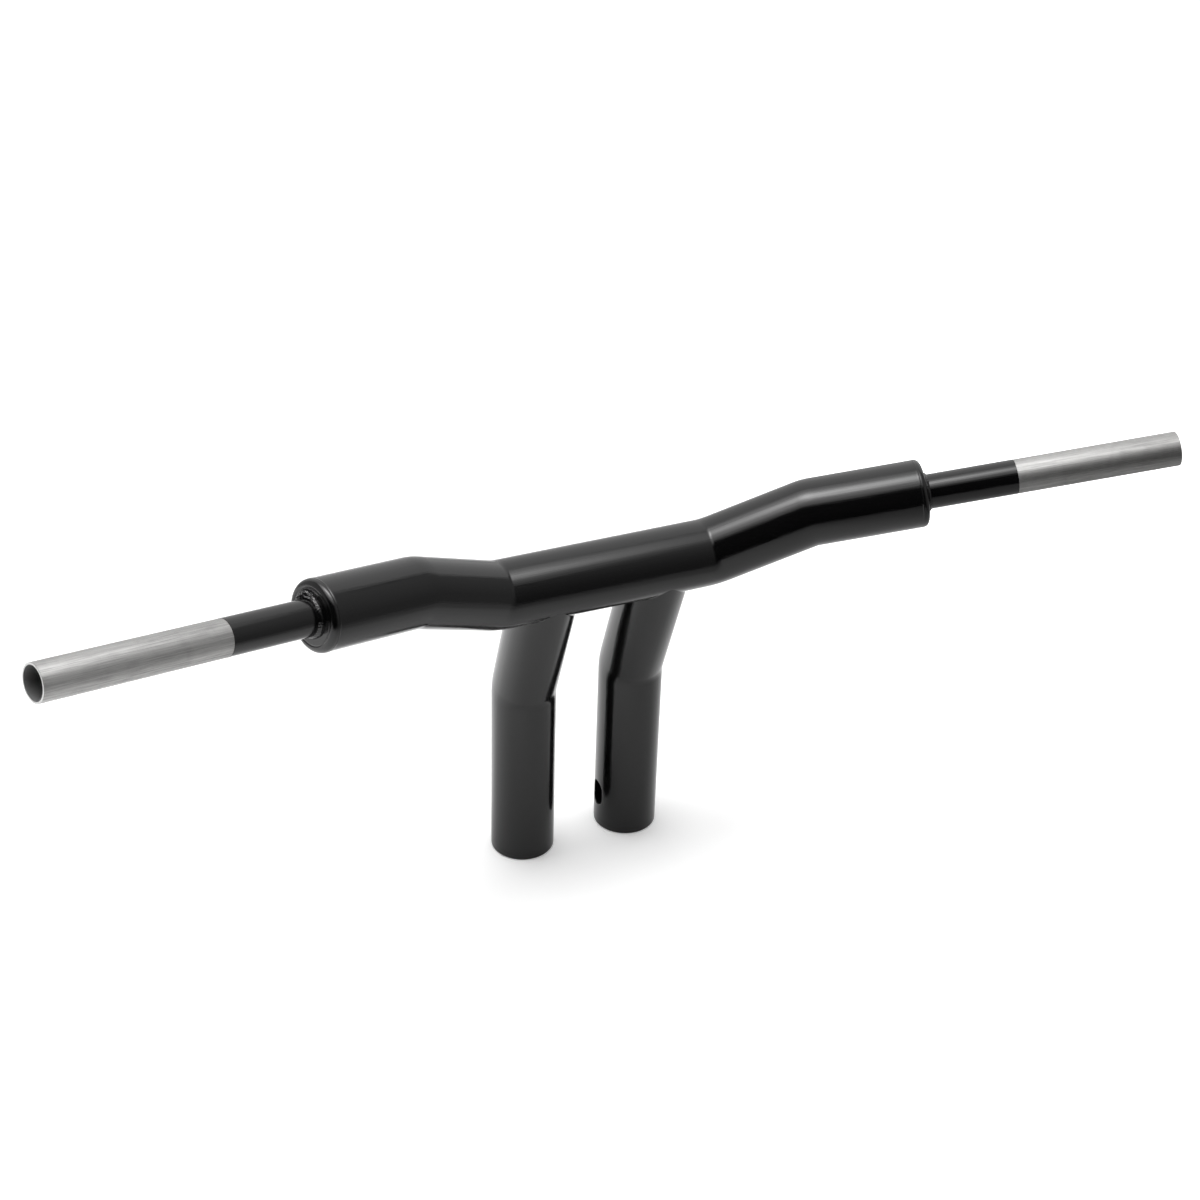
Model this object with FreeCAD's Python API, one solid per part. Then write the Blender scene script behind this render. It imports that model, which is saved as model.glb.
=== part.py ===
import FreeCAD, Part
import math
import os

from FreeCAD import Vector

# A welded T-bar handlebar. X runs along the crossbar to the rider's right, -Y points back to the rider,
# and Z is up. The origin lies on the mounting plane, midway between the two riser feet.

# Tube stock: large tube for crossbar and risers, small tube for the grips.
# The risers' tube is a step smaller on the radius, so that the weld can run all round it.
TUBE_OD = 50.0
RISER_STEP = 0.2
TUBE_WALL = 3.0
GRIP_OD = 25.4
GRIP_WALL = 1.5

# Slip fit of turned pieces in or on a tube, on the radius
FIT_CLEARANCE = 0.1

# Radius that the ground weld leaves inside a mitred corner, and where a riser meets the crossbar
CORNER_RADIUS = 5.0
SADDLE_WELD_RADIUS = 2.5

# Risers
RISER_SPACING = 88.9
POST_HEIGHT = 150.0
BAR_HEIGHT = 262.0
RISER_LEAN_ANGLE = 20.0
FOOT_EDGE_RADIUS = 1.5

# Threaded bung in each riser foot
BUNG_HEIGHT = 16.0
BOLT_DIAMETER = 12.7

# Oblong wire hole on the inner side of each post, and the drilled way on into the crossbar
WIRE_HOLE_WIDTH = 14.0
WIRE_HOLE_LENGTH = 22.0
WIRE_HOLE_GAP = 3.5
WIRE_PASSAGE_DIAMETER = 24.0

# Crossbar: straight centre, a kick up and back on each side, then a flatter arm
CENTRE_LENGTH = 170.0
SWEEP_ANGLE = 18.75
KICK_LENGTH = 78.5
KICK_ANGLE = 23.5
ARM_LENGTH = 85.0
ARM_ANGLE = 10.0

# Turned plug that closes each arm and carries the grip tube
PLUG_CAP_LENGTH = 6.5
PLUG_EDGE_RADIUS = 4.0
PLUG_SPIGOT_LENGTH = 16.0
GRIP_WELD_LEG = 4.5

# Grip tubes: the seat in the plug is turned down on the radius, a film of coating covers the first stretch
# outside the plug, and the end is left bare to size. The throttle side on the right ends shorter.
SEAT_RELIEF = 0.2
LEFT_GRIP_REACH = 200.8
RIGHT_GRIP_REACH = 188.1
GRIP_COAT_LENGTH = 68.0
COAT_THICKNESS = 0.1
GRIP_MOUTH_CHAMFER = 0.2
GRIP_EDGE_CHAMFER = 0.2

X_AXIS = Vector(1, 0, 0)
Z_AXIS = Vector(0, 0, 1)
ORIGIN = Vector(0, 0, 0)

# Distance under which a point counts as lying on a surface
TOUCH = 1e-4

bar_radius = TUBE_OD / 2
riser_radius = bar_radius - RISER_STEP
grip_radius = GRIP_OD / 2
grip_bore_radius = grip_radius - GRIP_WALL
seat_radius = grip_radius - SEAT_RELIEF
wire_hole_height = BUNG_HEIGHT + WIRE_HOLE_GAP + WIRE_HOLE_LENGTH / 2


def heading(sweep, rise):
    """Unit direction of a right-hand run that sweeps back and rises by these angles in degrees."""
    sweep = math.radians(sweep)
    rise = math.radians(rise)
    flat = math.cos(rise)
    return Vector(flat * math.cos(sweep), -flat * math.sin(sweep), math.sin(rise))


def mirrored(shape):
    """Left-hand twin of a right-hand shape."""
    return shape.mirror(ORIGIN, X_AXIS)


# Corner points of the right half
bar_setback = (BAR_HEIGHT - POST_HEIGHT) * math.tan(math.radians(RISER_LEAN_ANGLE))
foot = Vector(RISER_SPACING / 2, 0, 0)
post_corner = foot + Z_AXIS * POST_HEIGHT
neck_top = Vector(RISER_SPACING / 2, -bar_setback, BAR_HEIGHT)
neck_heading = (neck_top - post_corner).normalize()
bar_middle = Vector(0, -bar_setback, BAR_HEIGHT)
centre_corner = bar_middle + X_AXIS * (CENTRE_LENGTH / 2)
kick_heading = heading(SWEEP_ANGLE, KICK_ANGLE)
kick_corner = centre_corner + kick_heading * KICK_LENGTH
arm_heading = heading(SWEEP_ANGLE, ARM_ANGLE)
shoulder = kick_corner + arm_heading * ARM_LENGTH
tube_end = shoulder - arm_heading * PLUG_CAP_LENGTH


def corner_setback(stock, own, onward):
    """How far before a corner its rounding starts, on a tube of this outside radius."""
    return (stock + CORNER_RADIUS) * math.tan(own.getAngle(onward) / 2)


def disc(centre, normal, radius):
    """Flat round face across a run."""
    return Part.Face(Part.Wire(Part.makeCircle(radius, centre, normal)))


def half_corner(corner, own, onward, section, stock):
    """Rounded half of a mitred corner: from the end of the straight run to the mitre plane."""
    start = corner - own * corner_setback(stock, own, onward)
    inward = (onward - own * own.dot(onward)).normalize()
    pivot = start + inward * (stock + CORNER_RADIUS)
    axis = own.cross(onward).normalize()
    half_turn = math.degrees(own.getAngle(onward)) / 2
    return disc(start, own, section).revolve(pivot, axis, half_turn)


def run(start, end, section, stock, arriving=None, leaving=None):
    """Solid round run of a section radius, along a tube of the stock radius.

    Where another run arrives at its start or leaves from its end, it ends on the mitre between them.
    """
    own = (end - start).normalize()
    straight_start = start
    straight_end = end
    corners = []
    if arriving is not None:
        straight_start = start + own * corner_setback(stock, own, arriving)
        corners.append(half_corner(start, -own, -arriving, section, stock))
    if leaving is not None:
        straight_end = end - own * corner_setback(stock, own, leaving)
        corners.append(half_corner(end, own, leaving, section, stock))
    straight = disc(straight_start, own, section).extrude(straight_end - straight_start)
    return straight.multiFuse(corners) if corners else straight


def tube(start, end, stock, arriving=None, leaving=None):
    """Run of large tube with its bore."""
    outside = run(start, end, stock, stock, arriving, leaving)
    return outside.cut(run(start, end, stock - TUBE_WALL, stock, arriving, leaving))


def turned(profile, base, along):
    """Solid of revolution about a line, from a closed profile of edges in (radius, length) coordinates."""
    face = Part.Face(Part.Wire(profile))
    solid = face.revolve(ORIGIN, Z_AXIS, 360)
    turn = FreeCAD.Rotation(Z_AXIS, along)
    solid.Placement = FreeCAD.Placement(base, turn)
    return solid


def at(radius, length):
    """Profile point for a turned piece."""
    return Vector(radius, 0, length)


def polygon(*points):
    """Closed profile of straight edges."""
    return Part.makePolygon(list(points) + [points[0]]).Edges


def crossbar_cylinder():
    """Outside of the centre tube as a plain cylinder, for shaping what is welded to it."""
    return Part.makeCylinder(bar_radius, CENTRE_LENGTH, bar_middle - X_AXIS * (CENTRE_LENGTH / 2), X_AXIS)


def wire_passage():
    """Drilled way from the right-hand riser into the hollow of the crossbar."""
    start = neck_top - neck_heading * TUBE_OD
    return Part.makeCylinder(WIRE_PASSAGE_DIAMETER / 2, TUBE_OD, start, neck_heading)


def make_centre_tube():
    """Straight middle of the crossbar, with a wire passage over each riser."""
    left_kick_inward = Vector(kick_heading.x, -kick_heading.y, -kick_heading.z)
    left_corner = Vector(-centre_corner.x, centre_corner.y, centre_corner.z)
    plain = tube(left_corner, centre_corner, bar_radius, left_kick_inward, kick_heading)
    passage = wire_passage()
    return plain.cut([passage, mirrored(passage)])


def make_kick_tube():
    """Run that lifts the bar up and back from the centre."""
    return tube(centre_corner, kick_corner, bar_radius, X_AXIS, arm_heading)


def make_arm_tube():
    """Flatter outer run, square cut where the end plug seats."""
    return tube(kick_corner, tube_end, bar_radius, kick_heading)


def make_end_plug():
    """Turned plug: spigot in the arm, rounded cap, bore for the grip tube, and the weld bead round it."""
    bore = seat_radius + FIT_CLEARANCE
    spigot = bar_radius - TUBE_WALL - FIT_CLEARANCE
    edge = PLUG_EDGE_RADIUS
    cap = PLUG_CAP_LENGTH
    weld = GRIP_WELD_LEG
    bevel = math.sqrt(0.5)
    round_middle = at(bar_radius - edge * (1 - bevel), cap - edge * (1 - bevel))
    weld_middle = at(bore + weld * bevel, cap + weld * bevel)
    corners = [
        at(bore, -PLUG_SPIGOT_LENGTH),
        at(spigot, -PLUG_SPIGOT_LENGTH),
        at(spigot, 0),
        at(bar_radius, 0),
        at(bar_radius, cap - edge),
    ]
    edges = Part.makePolygon(corners).Edges
    edges.append(Part.Arc(corners[-1], round_middle, at(bar_radius - edge, cap)).toShape())
    edges.append(Part.makeLine(at(bar_radius - edge, cap), at(bore + weld, cap)))
    edges.append(Part.Arc(at(bore + weld, cap), weld_middle, at(bore, cap + weld)).toShape())
    edges.append(Part.makeLine(at(bore, cap + weld), corners[0]))
    return turned(edges, tube_end, arm_heading)


def make_grip_tube(reach):
    """Small tube through the plug, open at both ends, that reaches so far out to its chamfered mouth."""
    seat_end = -PLUG_CAP_LENGTH - PLUG_SPIGOT_LENGTH
    coated_radius = grip_radius + COAT_THICKNESS
    profile = polygon(
        at(grip_bore_radius, seat_end),
        at(seat_radius, seat_end),
        at(seat_radius, GRIP_WELD_LEG),
        at(coated_radius, GRIP_WELD_LEG),
        at(coated_radius, GRIP_COAT_LENGTH),
        at(grip_radius, GRIP_COAT_LENGTH),
        at(grip_radius, reach - GRIP_EDGE_CHAMFER),
        at(grip_radius - GRIP_EDGE_CHAMFER, reach),
        at(grip_bore_radius + GRIP_MOUTH_CHAMFER, reach),
        at(grip_bore_radius, reach - GRIP_MOUTH_CHAMFER),
    )
    return turned(profile, shoulder, arm_heading)


def wire_hole():
    """Oblong cutter through the inner wall of the right-hand post."""
    half_width = WIRE_HOLE_WIDTH / 2
    half_straight = (WIRE_HOLE_LENGTH - WIRE_HOLE_WIDTH) / 2
    middle = foot + Z_AXIS * wire_hole_height
    across = Vector(0, half_width, 0)
    upper = middle + Z_AXIS * half_straight
    lower = middle - Z_AXIS * half_straight
    outline = Part.Wire([
        Part.makeLine(lower + across, upper + across),
        Part.Arc(upper + across, upper + Z_AXIS * half_width, upper - across).toShape(),
        Part.makeLine(upper - across, lower - across),
        Part.Arc(lower - across, lower - Z_AXIS * half_width, lower + across).toShape(),
    ])
    return Part.Face(outline).extrude(X_AXIS * -TUBE_OD)


def make_riser_post():
    """Upright lower part of a riser, eased at the foot, with the wire hole facing the other riser."""
    post = tube(foot, post_corner, riser_radius, leaving=neck_heading)
    foot_edges = [edge for edge in post.Edges if is_foot_rim(edge)]
    return post.makeFillet(FOOT_EDGE_RADIUS, foot_edges).cut(wire_hole())


def is_foot_rim(edge):
    """Whether an edge is the outer rim of the foot."""
    box = edge.BoundBox
    return abs(box.ZMin) < TOUCH and abs(box.ZMax) < TOUCH and box.XLength > 2 * riser_radius - TUBE_WALL


def is_saddle_seam(edge):
    """Whether an edge lies both on the neck's side and on the crossbar."""
    middle = edge.valueAt((edge.FirstParameter + edge.LastParameter) / 2)
    off_neck = middle.distanceToLine(neck_top, neck_heading) - riser_radius
    off_bar = middle.distanceToLine(bar_middle, X_AXIS) - bar_radius
    return abs(off_neck) < TOUCH and abs(off_bar) < TOUCH


def make_riser_neck():
    """Leaning upper part of a riser, notched to saddle the crossbar and flared onto it by the ground weld."""
    outside = run(post_corner, neck_top, riser_radius, riser_radius, arriving=Z_AXIS)
    joined = outside.fuse(crossbar_cylinder())
    seam = [edge for edge in joined.Edges if is_saddle_seam(edge)]
    welded = joined.makeFillet(SADDLE_WELD_RADIUS, seam)
    bore = run(post_corner, neck_top, riser_radius - TUBE_WALL, riser_radius, arriving=Z_AXIS)
    return welded.cut([crossbar_cylinder(), bore])


def make_riser_bung():
    """Turned bung flush with the foot, bored through for its bolt."""
    hole = BOLT_DIAMETER / 2
    outside = riser_radius - TUBE_WALL - FIT_CLEARANCE
    profile = polygon(at(hole, 0), at(outside, 0), at(outside, BUNG_HEIGHT), at(hole, BUNG_HEIGHT))
    return turned(profile, foot, Z_AXIS)


PAIRS = {
    "kick_tube": make_kick_tube,
    "arm_tube": make_arm_tube,
    "end_plug": make_end_plug,
    "riser_post": make_riser_post,
    "riser_neck": make_riser_neck,
    "riser_bung": make_riser_bung,
}


def main():
    """Writes the centre tube, the two grip tubes, and a left and a right copy of every other piece."""
    os.makedirs("parts", exist_ok=True)
    nodes = {
        "centre_tube": make_centre_tube(),
        "left_grip_tube": mirrored(make_grip_tube(LEFT_GRIP_REACH)),
        "right_grip_tube": make_grip_tube(RIGHT_GRIP_REACH),
    }
    for name, make in PAIRS.items():
        right = make()
        nodes["right_" + name] = right
        nodes["left_" + name] = mirrored(right)
    for name, shape in nodes.items():
        solids = shape.Solids
        print(f"{name}: {len(solids)} solid, {shape.Volume / 1000:.2f} cm3, valid {shape.isValid()}")
        solids[0].exportStep(f"parts/{name}.step")


main()
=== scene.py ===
import logging
import math
from dataclasses import dataclass, field
from enum import Enum
from functools import cache
from typing import Sequence

import bpy
import numpy as np
from mathutils import Matrix, Vector


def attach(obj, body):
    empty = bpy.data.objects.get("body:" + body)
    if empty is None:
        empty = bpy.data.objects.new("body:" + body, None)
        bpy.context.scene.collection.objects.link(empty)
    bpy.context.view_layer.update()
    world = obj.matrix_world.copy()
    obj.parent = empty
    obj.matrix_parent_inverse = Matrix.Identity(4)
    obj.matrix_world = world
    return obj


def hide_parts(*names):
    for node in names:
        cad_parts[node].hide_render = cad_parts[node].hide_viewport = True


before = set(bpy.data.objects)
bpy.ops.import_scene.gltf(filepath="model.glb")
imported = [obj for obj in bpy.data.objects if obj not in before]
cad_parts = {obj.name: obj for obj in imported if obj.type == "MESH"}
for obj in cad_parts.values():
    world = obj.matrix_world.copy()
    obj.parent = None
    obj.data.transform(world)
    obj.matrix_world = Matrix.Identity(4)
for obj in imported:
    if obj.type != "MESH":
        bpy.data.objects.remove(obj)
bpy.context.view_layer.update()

log = logging.getLogger("handlebar")

MM = 0.001
LOCAL_PLACE = "local_place"
CUT_END = "cut_end"
ROUND_AND_ALONG = "round_and_along"
UP = (0.0, 0.0, 1.0)
WHITE = (1.0, 1.0, 1.0, 1.0)

Point = np.ndarray
Profile = Sequence[tuple[float, float]]
Colour = tuple[float, float, float, float]
Socket = bpy.types.NodeSocket
# Driving values at which a figure starts and ends its change, and the figure at each.
Ramp = tuple[float, float, float, float]


class Side(Enum):
    """Rider's side that a piece belongs to; the value is the sign of its X."""

    LEFT = -1
    RIGHT = 1

    @property
    def word(self) -> str:
        """Side as it stands in node names."""
        return self.name.lower()

    def place(self, points: Point) -> Point:
        """Right-hand points moved to this side."""
        return np.asarray(points, float) * np.array([self.value, 1.0, 1.0])


class Slot(Enum):
    """Material slots of the record."""

    BLACK_COAT = "black_coat"
    BARE_STEEL = "bare_steel"
    BUNG_STEEL = "bung_steel"


class SocketKind(Enum):
    """Types of the sockets that trees and groups have."""

    FIGURE = "NodeSocketFloat"
    COUNT = "NodeSocketInt"
    PLACE = "NodeSocketVector"
    MATERIAL = "NodeSocketMaterial"
    SHAPE = "NodeSocketGeometry"


@dataclass(frozen=True)
class Layout:
    """Driving sizes of the handlebar in metres and radians, with the centre lines of its right half."""

    bar_radius: float = 25.0 * MM
    riser_radius: float = 24.8 * MM
    tube_wall: float = 3.0 * MM
    grip_radius: float = 12.7 * MM
    grip_bore_radius: float = 11.2 * MM
    seat_radius: float = 12.5 * MM
    fit_clearance: float = 0.1 * MM
    corner_radius: float = 5.0 * MM
    riser_spacing: float = 88.9 * MM
    post_height: float = 150.0 * MM
    bar_height: float = 262.0 * MM
    riser_lean: float = math.radians(20.0)
    centre_length: float = 170.0 * MM
    sweep: float = math.radians(18.75)
    kick_length: float = 78.5 * MM
    kick_rise: float = math.radians(23.5)
    arm_length: float = 85.0 * MM
    arm_rise: float = math.radians(10.0)
    plug_cap_length: float = 6.5 * MM

    def heading(self, rise: float) -> Point:
        """Unit direction of a right-hand run of the crossbar.

        Args:
            rise: angle above the horizontal, in radians.

        Returns:
            Unit vector that points outwards along the run.
        """
        flat = math.cos(rise)
        return np.array([flat * math.cos(self.sweep), -flat * math.sin(self.sweep), math.sin(rise)])

    @property
    def foot(self) -> Point:
        """Middle of the right-hand riser's foot."""
        return np.array([self.riser_spacing / 2, 0.0, 0.0])

    @property
    def neck_heading(self) -> Point:
        """Direction of the leaning upper part of a riser."""
        return np.array([0.0, -math.sin(self.riser_lean), math.cos(self.riser_lean)])

    @property
    def neck_length(self) -> float:
        """Distance from a riser's bend to the crossbar's axis."""
        return (self.bar_height - self.post_height) / math.cos(self.riser_lean)

    @property
    def neck_top(self) -> Point:
        """Point where the right-hand riser's axis meets the crossbar's axis."""
        return self.foot + np.array([0.0, 0.0, self.post_height]) + self.neck_heading * self.neck_length

    @property
    def centre_corner(self) -> Point:
        """Right-hand corner between the crossbar's centre and its kick."""
        return self.neck_top + np.array([(self.centre_length - self.riser_spacing) / 2, 0.0, 0.0])

    @property
    def kick_corner(self) -> Point:
        """Right-hand corner between the kick and the arm."""
        return self.centre_corner + self.heading(self.kick_rise) * self.kick_length

    @property
    def arm_heading(self) -> Point:
        """Direction of the right-hand arm and grip."""
        return self.heading(self.arm_rise)

    @property
    def shoulder(self) -> Point:
        """Middle of the right-hand end plug's outer face."""
        return self.kick_corner + self.arm_heading * self.arm_length

    @property
    def tube_end(self) -> Point:
        """Middle of the right-hand arm tube's cut end."""
        return self.shoulder - self.arm_heading * self.plug_cap_length


class Shaper:
    """Turns points and faces into finished mesh objects."""

    SHARP_ANGLE: float = math.radians(32.0)

    @staticmethod
    def places(mesh: bpy.types.Mesh) -> Point:
        """Reads the points of a mesh.

        Args:
            mesh: any mesh.

        Returns:
            One row of coordinates for each point.
        """
        places = np.zeros(len(mesh.vertices) * 3)
        mesh.vertices.foreach_get("co", places)
        return places.reshape(-1, 3)

    @classmethod
    def outward(cls, mesh: bpy.types.Mesh) -> None:
        """Turns a closed mesh right side out.

        Args:
            mesh: closed mesh with consistent faces.
        """
        mesh.calc_loop_triangles()
        corners = np.zeros(len(mesh.loop_triangles) * 3, np.int64)
        mesh.loop_triangles.foreach_get("vertices", corners)
        a, b, c = cls.places(mesh)[corners.reshape(-1, 3).T]
        if np.einsum("ij,ij->i", a, np.cross(b, c)).sum() < 0:
            mesh.flip_normals()

    @classmethod
    def smooth(cls, mesh: bpy.types.Mesh) -> None:
        """Shades a mesh smoothly between its sharp edges."""
        mesh.shade_smooth()
        mesh.set_sharp_from_angle(angle=cls.SHARP_ANGLE)

    @staticmethod
    def link(name: str, mesh: bpy.types.Mesh) -> bpy.types.Object:
        """Puts a mesh into the scene.

        Args:
            name: name of the object.
            mesh: mesh that it shows.

        Returns:
            New object at the origin.
        """
        piece = bpy.data.objects.new(name, mesh)
        bpy.context.scene.collection.objects.link(piece)
        return piece

    @classmethod
    def piece(cls, name: str, points: Point, faces: Sequence[Sequence[int]]) -> bpy.types.Object:
        """Makes a closed piece from points and faces, leaving out points that no face uses.

        Args:
            name: name of the object.
            points: one row of coordinates for each point, in metres.
            faces: numbers of each face's corners.

        Returns:
            New object at the origin.
        """
        used = sorted({corner for face in faces for corner in face})
        renumbered = {old: new for new, old in enumerate(used)}
        mesh = bpy.data.meshes.new(name)
        mesh.from_pydata(points[used].tolist(), [], [[renumbered[k] for k in face] for face in faces])
        mesh.update()
        cls.outward(mesh)
        cls.smooth(mesh)
        return cls.link(name, mesh)

    @staticmethod
    def ring_faces(rings: int, segments: int,
                   left_out: set[tuple[int, int]] | None = None) -> list[tuple[int, ...]]:
        """Faces between rings of points, where the last ring joins the first one.

        Args:
            rings: number of rings.
            segments: number of points in each ring.
            left_out: ring and column of each face that stays open.

        Returns:
            Numbers of each face's corners.
        """
        skipped = left_out or set()
        return [
            (r * segments + s, r * segments + (s + 1) % segments,
             (r + 1) % rings * segments + (s + 1) % segments, (r + 1) % rings * segments + s)
            for r in range(rings) for s in range(segments) if (r, s) not in skipped
        ]

    @staticmethod
    def arc(middle: tuple[float, float], radius: float, start: float, end: float,
            steps: int) -> list[tuple[float, float]]:
        """Points on a round stretch of a profile.

        Args:
            middle: radius and length of the arc's middle.
            radius: radius of the arc.
            start: angle of its first point in degrees, from the outward radius.
            end: angle of its last point in degrees.
            steps: number of stretches between points.

        Returns:
            Points of radius and length.
        """
        angles = np.radians(np.linspace(start, end, steps + 1))
        return [(middle[0] + radius * math.cos(a), middle[1] + radius * math.sin(a)) for a in angles]

    @classmethod
    def turned(cls, name: str, profile: Profile, base: Point, along: Point, segments: int) -> bpy.types.Object:
        """Turns a closed profile about a line, and keeps each point's place in the piece's own axes.

        Args:
            name: name of the object.
            profile: closed outline as points of radius and length.
            base: point of the line where the length is zero.
            along: unit direction of the line.
            segments: number of faces round the piece.

        Returns:
            New object at the origin, with the local places as an attribute and a UV map round and along.
        """
        across = np.cross(along, [0.0, 1.0, 0.0])
        across /= np.linalg.norm(across)
        third = np.cross(along, across)
        turn = np.linspace(0.0, 2 * math.pi, segments, endpoint=False)
        radius, length = np.array(profile).T[..., None]
        local = np.stack([radius * np.cos(turn), radius * np.sin(turn), length + 0 * turn], axis=-1)
        local = local.reshape(-1, 3)
        points = base + local @ np.array([across, third, along])
        piece = cls.piece(name, points, cls.ring_faces(len(profile), segments))
        cls.mark_places(piece.data, local)
        cls.unwrap_turned(piece.data, local)
        return piece

    @staticmethod
    def mark_places(mesh: bpy.types.Mesh, local: Point) -> None:
        """Keeps each point's place in the piece's own axes as an attribute."""
        attribute = mesh.attributes.new(LOCAL_PLACE, "FLOAT_VECTOR", "POINT")
        attribute.data.foreach_set("vector", local.astype(np.float32).ravel())

    @staticmethod
    def unwrap_turned(mesh: bpy.types.Mesh, local: Point) -> None:
        """Gives a turned mesh a UV map whose U runs round it and whose V runs along it.

        Args:
            mesh: turned mesh.
            local: each point's place in the piece's own axes.
        """
        layer = mesh.uv_layers.new(name=ROUND_AND_ALONG)
        corners = np.zeros(len(mesh.loops), np.int64)
        mesh.loops.foreach_get("vertex_index", corners)
        turns = np.arctan2(local[corners, 1], local[corners, 0]) / (2 * math.pi) % 1.0
        for face in mesh.polygons:
            loops = np.arange(face.loop_start, face.loop_start + face.loop_total)
            if np.ptp(turns[loops]) > 0.5:
                turns[loops] = np.where(turns[loops] < 0.5, turns[loops] + 1.0, turns[loops])
        pairs = np.stack([turns, local[corners, 2]], axis=-1)
        layer.data.foreach_set("uv", pairs.astype(np.float32).ravel())


class NodeBench:
    """Adds nodes to a tree and links them."""

    def __init__(self, tree: bpy.types.NodeTree) -> None:
        """Takes the tree to work on."""
        self.tree = tree

    @classmethod
    def cleared(cls, owner: bpy.types.Material | bpy.types.World) -> "NodeBench":
        """Empties the tree of a material or world.

        Args:
            owner: material or world that gets new nodes.

        Returns:
            Bench for its tree.
        """
        owner.use_nodes = True
        owner.node_tree.nodes.clear()
        return cls(owner.node_tree)

    def feed(self, node: bpy.types.Node, inputs: dict[str | int, object]) -> None:
        """Links or sets the inputs of a node.

        Args:
            node: node that is fed.
            inputs: what goes into its inputs, by name or number: a socket to link, or a value to set.
        """
        for key, value in inputs.items():
            if isinstance(value, Socket):
                self.tree.links.new(value, node.inputs[key])
            else:
                node.inputs[key].default_value = value

    def add(self, kind: str, inputs: dict[str | int, object] | None = None,
            **settings: object) -> bpy.types.Node:
        """Adds a node.

        Args:
            kind: type name of the node.
            inputs: what goes into its inputs, as for feed.
            settings: properties of the node itself.

        Returns:
            The new node.
        """
        node = self.tree.nodes.new(kind)
        for key, value in settings.items():
            setattr(node, key, value)
        self.feed(node, inputs or {})
        return node

    def math(self, operation: str, first: object, second: object = 0.0, third: object = 0.0) -> Socket:
        """Figure worked out from up to three sockets or numbers by the named operation."""
        return self.add("ShaderNodeMath", {0: first, 1: second, 2: third}, operation=operation).outputs[0]

    def times(self, first: object, *others: object) -> Socket:
        """Product of sockets and numbers.

        Args:
            first: socket or number.
            others: sockets or numbers that it is multiplied by, one after the other.

        Returns:
            Output socket of the last new node.
        """
        product = first
        for other in others:
            product = self.math("MULTIPLY", product, other)
        return product

    def square_sum(self, first: Socket, second: Socket) -> Socket:
        """Sum of the squares of two figures."""
        return self.math("MULTIPLY_ADD", first, first, self.times(second, second))

    def ramp(self, value: Socket, low: float, high: float, start: float, end: float) -> Socket:
        """Figure that runs smoothly from one value to another and stays there.

        Args:
            value: socket that drives it.
            low: driving value at which the change starts.
            high: driving value at which it ends.
            start: figure up to the low value.
            end: figure from the high value on.

        Returns:
            Output socket of the new node.
        """
        inputs = {"Value": value, "From Min": low, "From Max": high, "To Min": start, "To Max": end}
        return self.add("ShaderNodeMapRange", inputs, interpolation_type="SMOOTHSTEP").outputs["Result"]

    def mix(self, factor: Socket, first: object, second: object, kind: str = "RGBA") -> Socket:
        """Blend of two colours, or of two figures where the kind says so.

        Args:
            factor: share of the second one.
            first: socket, colour or number.
            second: socket, colour or number.
            kind: type name of what is blended.

        Returns:
            Output socket of the new node.
        """
        inputs = {"Factor": factor, "A": first, "B": second}
        return self.add("ShaderNodeMix", inputs, data_type=kind).outputs["Result"]


class NodeShape:
    """Geometry node tree with named inputs, used as a modifier and turned into a plain mesh."""

    def __init__(self, name: str, figures: Sequence[str], counts: Sequence[str] = ()) -> None:
        """Starts a tree.

        Args:
            name: name of the tree.
            figures: names of the inputs that take a figure.
            counts: names of the inputs that take a whole number.
        """
        self.tree = bpy.data.node_groups.new(name, "GeometryNodeTree")
        self._open("Geometry", SocketKind.SHAPE, "INPUT")
        kinds = {**dict.fromkeys(figures, SocketKind.FIGURE), **dict.fromkeys(counts, SocketKind.COUNT),
                 "Material": SocketKind.MATERIAL}
        self.keys = {label: self._open(label, kind, "INPUT") for label, kind in kinds.items()}
        self._open("Geometry", SocketKind.SHAPE, "OUTPUT")
        self.bench = NodeBench(self.tree)
        self.inputs = self.bench.add("NodeGroupInput").outputs

    def _open(self, label: str, kind: SocketKind, way: str) -> str:
        """Opens a socket of the tree and gives its identifier."""
        return self.tree.interface.new_socket(label, in_out=way, socket_type=kind.value).identifier

    def close(self, geometry: Socket) -> None:
        """Ends the tree with real, smooth geometry that carries the material.

        Args:
            geometry: socket that gives the finished shape.
        """
        smooth = self.bench.add("GeometryNodeSetShadeSmooth", {"Geometry": geometry})
        real = self.bench.add("GeometryNodeRealizeInstances", {"Geometry": smooth.outputs[0]})
        dressed = self.bench.add("GeometryNodeSetMaterial",
                                 {"Geometry": real.outputs[0], "Material": self.inputs["Material"]})
        self.bench.add("NodeGroupOutput", {"Geometry": dressed.outputs[0]})

    def build(self, piece: bpy.types.Object, sizes: dict[str, object], wall: float = 0.0) -> None:
        """Runs the tree on an object, keeps the result as its mesh and turns that right side out.

        Args:
            piece: object whose mesh the tree starts from.
            sizes: value for each named input.
            wall: thickness that the shape gets inwards, if any.
        """
        modifier = piece.modifiers.new(self.tree.name, "NODES")
        modifier.node_group = self.tree
        for label, value in sizes.items():
            modifier[self.keys[label]] = value
        if wall:
            shell = piece.modifiers.new("wall", "SOLIDIFY")
            shell.thickness = wall
            shell.offset = -1.0
        seen = piece.evaluated_get(bpy.context.evaluated_depsgraph_get())
        mesh = bpy.data.meshes.new_from_object(seen)
        mesh.name = piece.name
        piece.modifiers.clear()
        piece.data = mesh
        Shaper.outward(mesh)


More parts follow.
